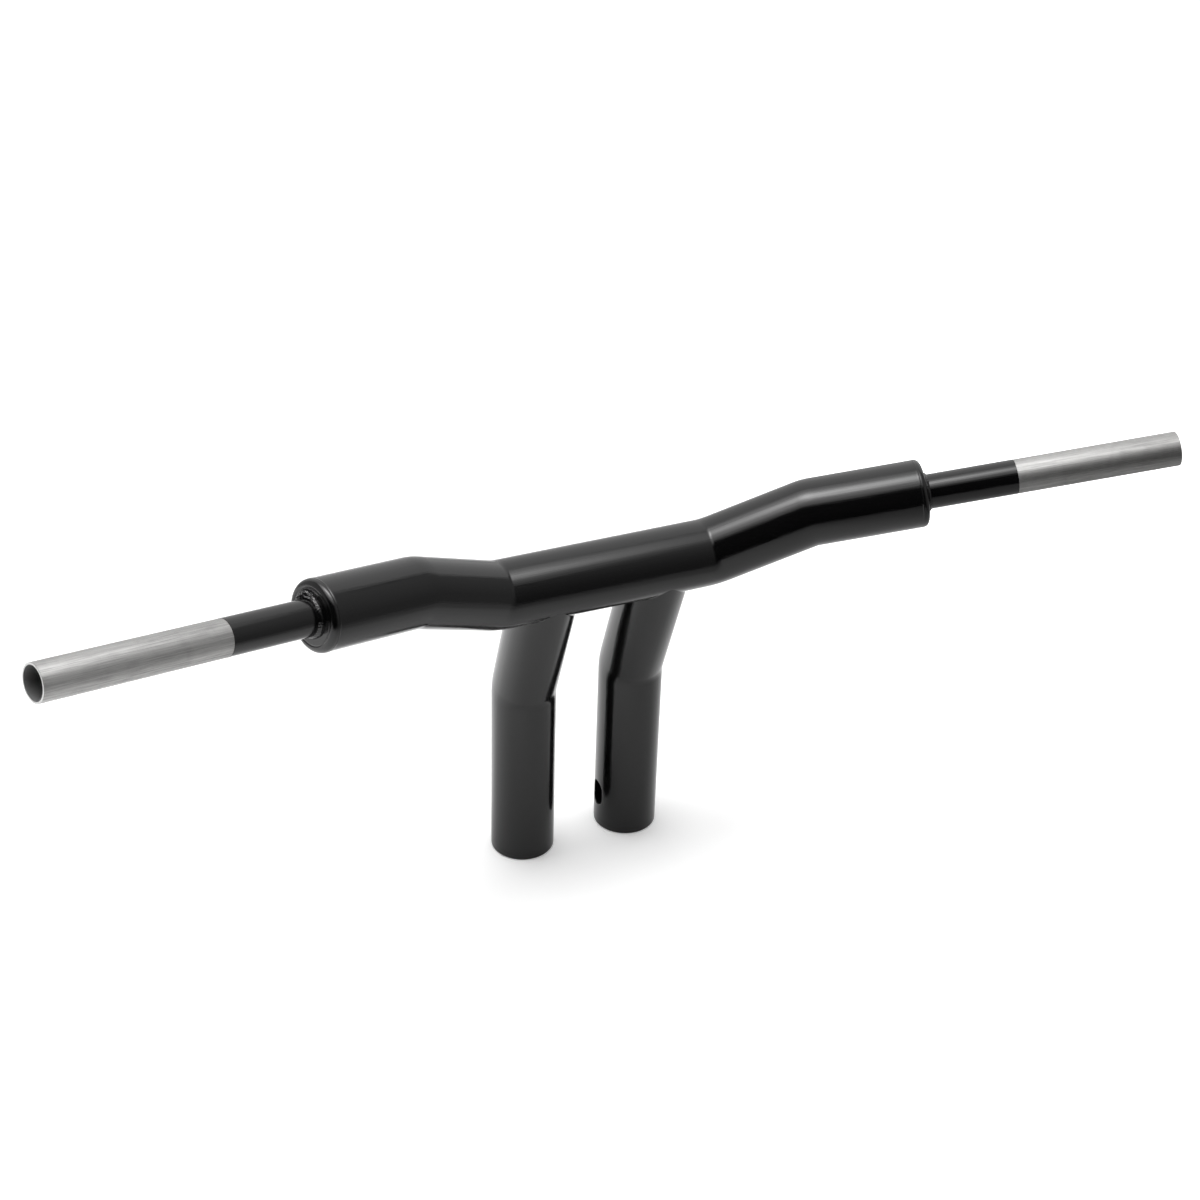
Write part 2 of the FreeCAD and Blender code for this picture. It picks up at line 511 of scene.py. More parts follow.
class SharedEffects:
    """Shader node groups that more than one finish uses."""

    SMUDGE_CLOUD: dict[str, float] = {"Detail": 5.0, "Roughness": 0.62, "Distortion": 0.6}
    SMUDGE_EDGES: Ramp = (0.42, 0.68, 0.0, 1.0)
    COARSE_LINES: dict[str, float] = {"Detail": 3.0, "Roughness": 0.7}
    FINE_LINES: dict[str, float] = {"Detail": 2.0, "Roughness": 0.6}
    FINE_SCALE: float = 4.3
    FINE_SHARE: float = 0.45
    LINE_EDGES: Ramp = (0.3, 0.7, 0.0, 1.0)

    @staticmethod
    def _group(name: str, figure: str, output: str) -> tuple[bpy.types.NodeTree, NodeBench, Socket, Socket]:
        """Starts a node group that takes a place and a figure and puts out a value.

        Args:
            name: name of the group.
            figure: name of the input that takes the figure.
            output: name of the value.

        Returns:
            The group, a bench for its nodes, and sockets with the place and the figure.
        """
        tree = bpy.data.node_groups.new(name, "ShaderNodeTree")
        for label, kind, way in (("Vector", SocketKind.PLACE, "INPUT"), (figure, SocketKind.FIGURE, "INPUT"),
                                 (output, SocketKind.FIGURE, "OUTPUT")):
            tree.interface.new_socket(label, in_out=way, socket_type=kind.value)
        bench = NodeBench(tree)
        inputs = bench.add("NodeGroupInput").outputs
        return tree, bench, inputs["Vector"], inputs[figure]

    @classmethod
    @cache
    def handling_marks(cls) -> bpy.types.NodeTree:
        """Soft smudges left by wiping and handling.

        Returns:
            Group that puts out a mask from nought to one.
        """
        tree, bench, place, scale = cls._group("handling marks", "Scale", "Mask")
        cloud = bench.add("ShaderNodeTexNoise", {"Vector": place, "Scale": scale, **cls.SMUDGE_CLOUD})
        bench.add("NodeGroupOutput", {"Mask": bench.ramp(cloud.outputs["Fac"], *cls.SMUDGE_EDGES)})
        return tree

    @classmethod
    @cache
    def tool_lines(cls) -> bpy.types.NodeTree:
        """Fine lines left by drawing or turning, coarse and fine together.

        Returns:
            Group that puts out a value from nought to one.
        """
        tree, bench, place, fineness = cls._group("tool lines", "Fineness", "Lines")
        finer = bench.times(fineness, cls.FINE_SCALE)
        coarse, fine = (
            bench.add("ShaderNodeTexNoise", {"Vector": place, "Scale": scale, **noise}).outputs["Fac"]
            for scale, noise in ((fineness, cls.COARSE_LINES), (finer, cls.FINE_LINES)))
        both = bench.math("MULTIPLY_ADD", fine, cls.FINE_SHARE, bench.times(coarse, 1.0 - cls.FINE_SHARE))
        bench.add("NodeGroupOutput", {"Lines": bench.ramp(both, *cls.LINE_EDGES)})
        return tree


class Finish:
    """A finish of the part, with the material that shows it."""

    def material(self) -> bpy.types.Material:
        """Builds the material."""
        raise NotImplementedError

    @staticmethod
    def start(name: str) -> tuple[bpy.types.Material, NodeBench, bpy.types.Node]:
        """Starts a material.

        Args:
            name: name of the material.

        Returns:
            The material, a bench for its nodes, and its shader.
        """
        material = bpy.data.materials.new(name)
        material.use_nodes = True
        shader = material.node_tree.nodes["Principled BSDF"]
        return material, NodeBench(material.node_tree), shader

    @staticmethod
    def own_place(bench: NodeBench) -> Socket:
        """Place of a point in the piece's own axes."""
        return bench.add("ShaderNodeAttribute", attribute_name=LOCAL_PLACE).outputs["Vector"]

    @staticmethod
    def stretched(bench: NodeBench, place: Socket, stretch: float) -> Socket:
        """Place on which a pattern runs lengthwise."""
        return bench.add("ShaderNodeMapping", {"Vector": place, "Scale": (1.0, 1.0, stretch)}).outputs["Vector"]

    @staticmethod
    def smudges(bench: NodeBench, place: Socket, scale: float) -> Socket:
        """Mask of the handling marks, at a scale of their own."""
        group = SharedEffects.handling_marks()
        return bench.add("ShaderNodeGroup", {"Vector": place, "Scale": scale}, node_tree=group).outputs["Mask"]

    @staticmethod
    def lines(bench: NodeBench, place: Socket, fineness: float) -> Socket:
        """Value of the tool lines, at a fineness of their own."""
        inputs = {"Vector": place, "Fineness": fineness}
        return bench.add("ShaderNodeGroup", inputs, node_tree=SharedEffects.tool_lines()).outputs["Lines"]


@dataclass(frozen=True)
class GlossBlackCoat(Finish):
    """Gloss black powder coat with a faint orange peel, over a tube with faint lengthwise marks."""

    colour: Colour = (0.0032, 0.0032, 0.0034, 1.0)
    gloss: float = 0.05
    wiped: float = 0.085
    mark_scale: float = 26.0
    refraction: float = 1.5
    peel_scale: float = 420.0
    peel_detail: float = 1.5
    peel_height: float = 0.006 * MM
    draw_stretch: float = 0.012
    draw_fineness: float = 520.0
    draw_height: float = 0.024 * MM

    def material(self) -> bpy.types.Material:
        """Builds the material.

        Returns:
            Material that reads object coordinates, and the piece's local places for the tube's marks.
        """
        material, bench, shader = self.start("gloss black coat")
        place = bench.add("ShaderNodeTexCoord").outputs["Object"]
        marks = self.smudges(bench, place, self.mark_scale)
        peel = bench.add("ShaderNodeTexNoise",
                         {"Vector": place, "Scale": self.peel_scale, "Detail": self.peel_detail})
        grain = bench.add("ShaderNodeBump", {"Height": peel.outputs["Fac"], "Distance": self.peel_height})
        drawn = self.lines(bench, self.stretched(bench, self.own_place(bench), self.draw_stretch),
                           self.draw_fineness)
        bump = bench.add("ShaderNodeBump", {"Height": drawn, "Distance": self.draw_height,
                                            "Normal": grain.outputs["Normal"]})
        bench.feed(shader, {"Base Color": self.colour, "IOR": self.refraction, "Normal": bump.outputs["Normal"],
                            "Roughness": bench.ramp(marks, 0.0, 1.0, self.gloss, self.wiped)})
        return material


@dataclass(frozen=True)
class DrawnSteel(Finish):
    """Bare drawn steel with fine lengthwise marks, a bright cut end and a dull bore."""

    dark: Colour = (0.26, 0.258, 0.254, 1.0)
    light: Colour = (0.51, 0.505, 0.498, 1.0)
    cut: Colour = (0.92, 0.92, 0.91, 1.0)
    smooth: float = 0.34
    rough: float = 0.48
    anisotropy: float = 0.7
    stretch: float = 0.011
    fineness: float = 1500.0
    line_height: float = 0.008 * MM
    mark_scale: float = 55.0
    mark_shade: float = 0.18
    bore_radius: float = 11.3 * MM
    bore_colour: Colour = (0.24, 0.24, 0.24, 1.0)
    bore_roughness: float = 0.9

    def material(self) -> bpy.types.Material:
        """Builds the material.

        Returns:
            Material that reads the piece's local places, its cut end and its UV map.
        """
        material, bench, shader = self.start("drawn steel")
        place = self.own_place(bench)
        lines = self.lines(bench, self.stretched(bench, place, self.stretch), self.fineness)
        marks = self.smudges(bench, place, self.mark_scale)
        skin = bench.mix(bench.math("MULTIPLY_ADD", marks, -self.mark_shade, lines), self.dark, self.light)
        parts = bench.add("ShaderNodeSeparateXYZ", {"Vector": place}).outputs
        radius = bench.math("SQRT", bench.square_sum(parts["X"], parts["Y"]))
        outside = bench.math("GREATER_THAN", radius, self.bore_radius)
        end = bench.add("ShaderNodeAttribute", attribute_name=CUT_END).outputs["Fac"]
        tint = bench.mix(outside, self.bore_colour, bench.mix(end, skin, self.cut))
        gloss = bench.ramp(lines, 0.0, 1.0, self.rough, self.smooth)
        bump = bench.add("ShaderNodeBump", {"Height": lines, "Distance": self.line_height})
        tangent = bench.add("ShaderNodeTangent", direction_type="UV_MAP", uv_map=ROUND_AND_ALONG)
        bench.feed(shader, {"Base Color": tint, "Metallic": outside, "Anisotropic": self.anisotropy,
                            "Roughness": bench.mix(outside, self.bore_roughness, gloss, "FLOAT"),
                            "Normal": bump.outputs["Normal"], "Tangent": tangent.outputs["Tangent"]})
        return material


@dataclass(frozen=True)
class TurnedSteel(Finish):
    """Turned steel with rings from the tool."""

    dark: Colour = (0.22, 0.22, 0.225, 1.0)
    light: Colour = (0.42, 0.42, 0.43, 1.0)
    smooth: float = 0.3
    rough: float = 0.45
    fineness: float = 2600.0
    mark_scale: float = 90.0

    def material(self) -> bpy.types.Material:
        """Builds the material.

        Returns:
            Material whose rings follow the piece's own radius.
        """
        material, bench, shader = self.start("turned steel")
        place = self.own_place(bench)
        parts = bench.add("ShaderNodeSeparateXYZ", {"Vector": place}).outputs
        radius = bench.math("SQRT", bench.square_sum(parts["X"], parts["Y"]))
        ring = bench.add("ShaderNodeCombineXYZ", {"X": radius, "Y": parts["Z"]}).outputs["Vector"]
        lines = self.lines(bench, ring, self.fineness)
        marks = self.smudges(bench, place, self.mark_scale)
        bench.feed(shader, {"Base Color": bench.mix(lines, self.dark, self.light), "Metallic": 1.0,
                            "Roughness": bench.ramp(marks, 0.0, 1.0, self.smooth, self.rough)})
        return material


@dataclass
class FinishRack:
    """The part's finishes, each built once."""

    coat: bpy.types.Material = field(default_factory=lambda: GlossBlackCoat().material())
    grip_steel: bpy.types.Material = field(default_factory=lambda: DrawnSteel().material())
    bung_steel: bpy.types.Material = field(default_factory=lambda: TurnedSteel().material())


def show(piece: bpy.types.Object, slot: Slot, *nodes: str) -> None:
    """Hands a finished piece to the frame.

    Args:
        piece: finished object at the origin.
        slot: material slot of its finish; not used.
        nodes: solids that it stands for.
    """
    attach(piece, "root")
    if nodes:
        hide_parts(*nodes)
    log.info("%s: %d faces", piece.name, len(piece.data.polygons))


@dataclass
class Crossbar:
    """Fat tube across the bar: centre, two kicks and two arms, welded and ground to one skin."""

    layout: Layout
    finishes: FinishRack
    segments: int = 160
    corner_steps: int = 22
    straight_step: float = 12.0 * MM

    def path(self) -> Point:
        """Centre line from the left arm's end to the right arm's end, with its corners rounded.

        Returns:
            Points along the line.
        """
        half = [self.layout.centre_corner, self.layout.kick_corner, self.layout.tube_end]
        points = [Side.LEFT.place(p) for p in reversed(half)] + half
        bend = self.layout.bar_radius + self.layout.corner_radius
        line = [points[0]]
        for before, corner, after in zip(points, points[1:], points[2:]):
            arriving = (corner - before) / np.linalg.norm(corner - before)
            leaving = (after - corner) / np.linalg.norm(after - corner)
            turn = math.acos(float(np.clip(arriving @ leaving, -1.0, 1.0)))
            start = corner - arriving * bend * math.tan(turn / 2)
            inward = leaving - arriving * (arriving @ leaving)
            inward /= np.linalg.norm(inward)
            self._extend(line, start)
            for angle in np.linspace(0.0, turn, self.corner_steps + 1)[1:]:
                line.append(start + bend * (arriving * math.sin(angle) + inward * (1.0 - math.cos(angle))))
        self._extend(line, points[-1])
        return np.array(line)

    def _extend(self, line: list[Point], end: Point) -> None:
        """Adds evenly spaced points of a straight run to a line.

        Args:
            line: points so far, which get the new ones.
            end: last point of the run.
        """
        start = line[-1]
        steps = max(1, round(float(np.linalg.norm(end - start)) / self.straight_step))
        line.extend(start + (end - start) * k / steps for k in range(1, steps + 1))

    @staticmethod
    def _keep(bench: NodeBench, curve: Socket, label: str) -> bpy.types.NodeOutputs:
        """Keeps a figure of each point of a curve for the mesh that is made from it.

        Args:
            bench: bench of the tree that sweeps the tube.
            curve: socket that gives the curve.
            label: which figure of the curve is kept.

        Returns:
            Sockets with the curve and the kept figure.
        """
        keeper = bench.add("GeometryNodeCaptureAttribute", domain="POINT")
        keeper.capture_items.new("FLOAT", label)
        figure = bench.add("GeometryNodeSplineParameter").outputs[label]
        bench.feed(keeper, {"Geometry": curve, label: figure})
        return keeper.outputs

    def sweep_tree(self) -> NodeShape:
        """Tree that sweeps a round tube along a line and keeps each point's place round and along it.

        Returns:
            Finished tree.
        """
        shape = NodeShape("swept tube", ["Radius"], ["Segments"])
        bench, radius = shape.bench, shape.inputs["Radius"]
        curve = bench.add("GeometryNodeMeshToCurve", {"Mesh": shape.inputs["Geometry"]})
        ring = bench.add("GeometryNodeCurvePrimitiveCircle",
                         {"Resolution": shape.inputs["Segments"], "Radius": radius})
        lengths = self._keep(bench, curve.outputs[0], "Length")
        turns = self._keep(bench, ring.outputs[0], "Factor")
        swept = bench.add("GeometryNodeCurveToMesh",
                          {"Curve": lengths["Geometry"], "Profile Curve": turns["Geometry"]})
        angle = bench.times(turns["Factor"], 2 * math.pi)
        place = bench.add("ShaderNodeCombineXYZ", {"X": bench.times(bench.math("COSINE", angle), radius),
                                                   "Y": bench.times(bench.math("SINE", angle), radius),
                                                   "Z": lengths["Length"]})
        marked = bench.add("GeometryNodeStoreNamedAttribute",
                           {"Geometry": swept.outputs[0], "Name": LOCAL_PLACE, "Value": place.outputs[0]},
                           data_type="FLOAT_VECTOR", domain="POINT")
        shape.close(marked.outputs[0])
        return shape

    def build(self) -> None:
        """Sweeps the tube along its centre line and shows it."""
        line = self.path()
        mesh = bpy.data.meshes.new("crossbar")
        mesh.from_pydata(line.tolist(), [(k, k + 1) for k in range(len(line) - 1)], [])
        bar = Shaper.link("crossbar", mesh)
        sizes = {"Radius": self.layout.bar_radius, "Segments": self.segments, "Material": self.finishes.coat}
        self.sweep_tree().build(bar, sizes, wall=self.layout.tube_wall)
        Shaper.smooth(bar.data)
        outer = [f"{side.word}_{run}_tube" for side in Side for run in ("kick", "arm")]
        show(bar, Slot.BLACK_COAT, "centre_tube", *outer)


@dataclass
class Riser:
    """Round riser: an upright post with a wire hole, and a leaning neck whose weld flares onto the crossbar."""

    layout: Layout
    finishes: FinishRack
    side: Side
    segments: int = 168
    saddle_radius: float = 2.5 * MM
    saddle_steps: int = 16
    closing_shares: tuple[float, float] = (0.5, 1.0)
    neck_rows: int = 10
    bend_radius: float = 18.0 * MM
    bend_steps: int = 16
    foot_radius: float = 1.5 * MM
    foot_steps: int = 8
    hole_width: float = 14.0 * MM
    hole_length: float = 22.0 * MM
    hole_height: float = 30.5 * MM
    hole_rows: int = 8
    lip_radius: float = 0.5 * MM
    lip_steps: int = 4
    inner_shares: tuple[float, float] = (0.33, 0.66)
    patch_height: float = 34.0 * MM
    patch_rows: int = 18
    patch_reach: int = 14
    rows_below: int = 3
    rows_above: int = 8

    @property
    def bore(self) -> float:
        """Inner radius of the riser tube."""
        return self.layout.riser_radius - self.layout.tube_wall

    @property
    def turns(self) -> Point:
        """Angle of each column of points, from the outward X."""
        return np.linspace(0.0, 2 * math.pi, self.segments, endpoint=False)

    @property
    def lean_axis(self) -> Point:
        """Direction across the neck, in the plane in which it leans."""
        lean = self.layout.riser_lean
        return np.array([0.0, math.cos(lean), math.sin(lean)])

    @property
    def bend(self) -> float:
        """Radius of the riser's own axis in the rounded corner between post and neck."""
        return self.layout.riser_radius + self.bend_radius

    @property
    def bend_start(self) -> float:
        """Height at which the post starts to bend."""
        return self.layout.post_height - self.bend * math.tan(self.layout.riser_lean / 2)

    def post_ring(self, radius: float, height: float) -> Point:
        """Ring of points round the post."""
        ring = [radius * np.cos(self.turns), radius * np.sin(self.turns), np.full(self.segments, height)]
        return self.layout.foot + np.stack(ring, axis=-1)

    def bend_ring(self, radius: float, angle: float) -> Point:
        """Ring of points in the rounded corner between post and neck.

        Args:
            radius: radius of the ring.
            angle: how far the bend has turned, in radians.

        Returns:
            Points of the ring.
        """
        out = np.array([0.0, math.cos(angle), math.sin(angle)])
        middle = self.layout.foot + np.array([0.0, -self.bend, self.bend_start]) + self.bend * out
        return middle + radius * (np.cos(self.turns)[:, None] * np.array([1.0, 0.0, 0.0])
                                  + np.sin(self.turns)[:, None] * out)

    def neck_points(self, side_way: Point, lean_way: Point, below: Point) -> Point:
        """Points near the neck's top, from places along X, across the lean and below the crossbar's axis."""
        return (self.layout.neck_top + np.multiply.outer(side_way, [1.0, 0.0, 0.0])
                + np.multiply.outer(lean_way, self.lean_axis)
                - np.multiply.outer(below, self.layout.neck_heading))

    def saddle_rings(self) -> list[Point]:
        """Rings of the weld: a ball rolled round the neck while it touches the crossbar too.

        Returns:
            Rings from the neck's side to the crossbar's skin.
        """
        reach = self.layout.riser_radius + self.saddle_radius
        bar_reach = self.layout.bar_radius + self.saddle_radius
        cosines, sines = np.cos(self.turns), np.sin(self.turns)
        below = np.sqrt(bar_reach ** 2 - (reach * sines) ** 2)
        centre = np.stack([reach * cosines, reach * sines, below], axis=-1)
        to_neck = np.stack([-cosines, -sines, 0 * sines], axis=-1)
        to_bar = -centre * np.array([0.0, 1.0, 1.0]) / bar_reach
        angle = np.arccos(np.clip((to_neck * to_bar).sum(axis=1), -1.0, 1.0))[:, None]
        rings = []
        for share in np.linspace(0.0, 1.0, self.saddle_steps + 1):
            way = (np.sin((1 - share) * angle) * to_neck + np.sin(share * angle) * to_bar) / np.sin(angle)
            rings.append(self.neck_points(*(centre + self.saddle_radius * way).T))
        return rings

    def closing_rings(self, last: Point) -> list[Point]:
        """Rings on the crossbar's skin from the weld's edge to the bore.

        Args:
            last: ring at the weld's edge.

        Returns:
            Rings that end at the bore's top.
        """
        place = last - self.layout.neck_top
        side_way, lean_way = place[:, 0], place @ self.lean_axis
        bore_side, bore_lean = self.bore * np.cos(self.turns), self.bore * np.sin(self.turns)
        rings = []
        for share in self.closing_shares:
            across = side_way + share * (bore_side - side_way)
            leaning = lean_way + share * (bore_lean - lean_way)
            rings.append(self.neck_points(across, leaning, np.sqrt(self.layout.bar_radius ** 2 - leaning ** 2)))
        return rings

    def heights(self) -> Point:
        """Heights of the post's rings, with close rows where the wire hole is.

        Returns:
            Heights from above the foot's rounding to the start of the bend.
        """
        low = self.hole_height - self.patch_height / 2
        high = self.hole_height + self.patch_height / 2
        return np.concatenate([np.linspace(self.foot_radius, low, self.rows_below + 1),
                               np.linspace(low, high, self.patch_rows + 1)[1:],
                               np.linspace(high, self.bend_start, self.rows_above + 1)[1:]])

    def rings(self) -> tuple[list[Point], int, int]:
        """All rings of the riser, from the foot up its outside and down its bore.

        Returns:
            The rings, and the numbers of the rows where the outer and the inner patch round the hole start.
        """
        outside = self.layout.riser_radius
        rounding = Shaper.arc((outside - self.foot_radius, self.foot_radius), self.foot_radius, -90, 0,
                              self.foot_steps)
        rings = [self.post_ring(r, z) for r, z in rounding[:-1]]
        outer_start = len(rings) + self.rows_below
        rings += [self.post_ring(outside, z) for z in self.heights()]
        angles = np.linspace(0.0, self.layout.riser_lean, self.bend_steps + 1)
        rings += [self.bend_ring(outside, a) for a in angles[1:]]
        saddle = self.saddle_rings()
        lower = rings[-1]
        rings += [lower + (saddle[0] - lower) * k / self.neck_rows for k in range(1, self.neck_rows)] + saddle
        rings += self.closing_rings(saddle[-1])
        rings += [self.bend_ring(self.bore, a) for a in angles[::-1]]
        heights = self.heights()[::-1][1:]
        inner_start = len(rings) + len(heights) - 1 - self.rows_below - self.patch_rows
        rings += [self.post_ring(self.bore, z) for z in (*heights, 0.0)]
        return rings, outer_start, inner_start

    def hole_point(self, way: Point, grow: float) -> Point:
        """Point on the oblong's edge.

        Args:
            way: direction from its middle, across and up.
            grow: how far the edge is moved outwards.

        Returns:
            Place across and up from the hole's middle.
        """
        half = self.hole_width / 2 + grow
        straight = (self.hole_length - self.hole_width) / 2
        if abs(way[1]) * half <= straight * abs(way[0]):
            return way * half / abs(way[0])
        middle = np.array([0.0, math.copysign(straight, way[1])])
        along = way @ middle
        length = way @ way
        return way * (along + math.sqrt(along ** 2 - length * (middle @ middle - half ** 2))) / length

    def on_wall(self, place: Point, radius: float, depth: float = 0.0) -> Point:
        """Point on the side of the post that faces the other riser, from its place across and up."""
        return self.layout.foot + np.array([depth - math.sqrt(radius ** 2 - place[0] ** 2), place[0],
                                            place[1] + self.hole_height])

    def build(self) -> None:
        """Joins the rings, opens the wire hole, and shows the riser."""
        rings, outer_start, inner_start = self.rings()
        points = [p for ring in rings for p in ring]
        middle = self.segments // 2
        columns = range(middle - self.patch_reach, middle + self.patch_reach)
        patches = {(start + r, c) for start in (outer_start, inner_start)
                   for r in range(self.patch_rows) for c in columns}
        faces = Shaper.ring_faces(len(rings), self.segments, patches)
        self.open_hole(points, faces, outer_start, inner_start)
        riser = Shaper.piece(f"{self.side.word}_riser", self.side.place(points), faces)
        Shaper.mark_places(riser.data, self.local_places(riser.data))
        riser.data.materials.append(self.finishes.coat)
        show(riser, Slot.BLACK_COAT, f"{self.side.word}_riser_post", f"{self.side.word}_riser_neck")

    def local_places(self, mesh: bpy.types.Mesh) -> Point:
        """Places of the riser's points, measured from its own axis.

        Args:
            mesh: finished mesh of the riser.

        Returns:
            One row for each point.
        """
        local = Shaper.places(mesh) - self.side.place(self.layout.foot)
        local[:, 1] += np.maximum(local[:, 2] - self.layout.post_height, 0.0) * math.tan(self.layout.riser_lean)
        return local

    def rim(self, start: int, downward: bool) -> list[int]:
        """Numbers of the points round a patch, in one sense on both walls.

        Args:
            start: row where the patch starts.
            downward: whether the rows run down the post.

        Returns:
            Point numbers, once round.
        """
        left, right = self.segments // 2 - self.patch_reach, self.segments // 2 + self.patch_reach
        rows = list(range(start, start + self.patch_rows + 1))
        if downward:
            rows.reverse()
        places = [(rows[0], c) for c in range(left, right)] + [(r, right) for r in rows[:-1]]
        places += [(rows[-1], c) for c in range(right, left, -1)] + [(r, left) for r in rows[:0:-1]]
        return [r * self.segments + c for r, c in places]

    def open_hole(self, points: list[Point], faces: list[tuple[int, ...]], outer_start: int,
                  inner_start: int) -> None:
        """Fills the two patches up to the wire hole and joins them by its wall.

        Args:
            points: points of the riser, which get those of the hole.
            faces: faces of the riser, which get those of the hole.
            outer_start: row where the outer patch starts.
            inner_start: row where the inner patch starts.
        """
        outer = self.rim(outer_start, False)
        inner = self.rim(inner_start, True)
        base = self.layout.foot + np.array([0.0, 0.0, self.hole_height])
        ways, inner_ways = ([(points[k] - base)[1:] for k in rim] for rim in (outer, inner))
        loops = [outer]

        def add(ring: list[Point]) -> None:
            """Adds one loop of points."""
            loops.append(list(range(len(points), len(points) + len(ring))))
            points.extend(ring)

        lip, radius = self.lip_radius, self.layout.riser_radius
        for share in np.linspace(0.0, 1.0, self.hole_rows + 1)[1:]:
            add([self.on_wall(way + share * (self.hole_point(way, lip) - way), radius) for way in ways])
        for angle in np.linspace(0.0, math.pi / 2, self.lip_steps + 1)[1:]:
            grow, depth = lip * (1 - math.sin(angle)), lip * (1 - math.cos(angle))
            add([self.on_wall(self.hole_point(way, grow), radius, depth) for way in ways])
        edge = [self.on_wall(self.hole_point(way, 0.0), self.bore) for way in ways]
        add([(points[k] + e) / 2 for k, e in zip(loops[-1], edge)])
        add(edge)
        for share in self.inner_shares:
            add([self.on_wall(self.hole_point(way, 0.0) + share * (far - self.hole_point(way, 0.0)), self.bore)
                 for way, far in zip(ways, inner_ways)])
        loops.append(inner)
        count = len(outer)
        for near, far in zip(loops, loops[1:]):
            faces.extend((near[k], near[(k + 1) % count], far[(k + 1) % count], far[k]) for k in range(count))


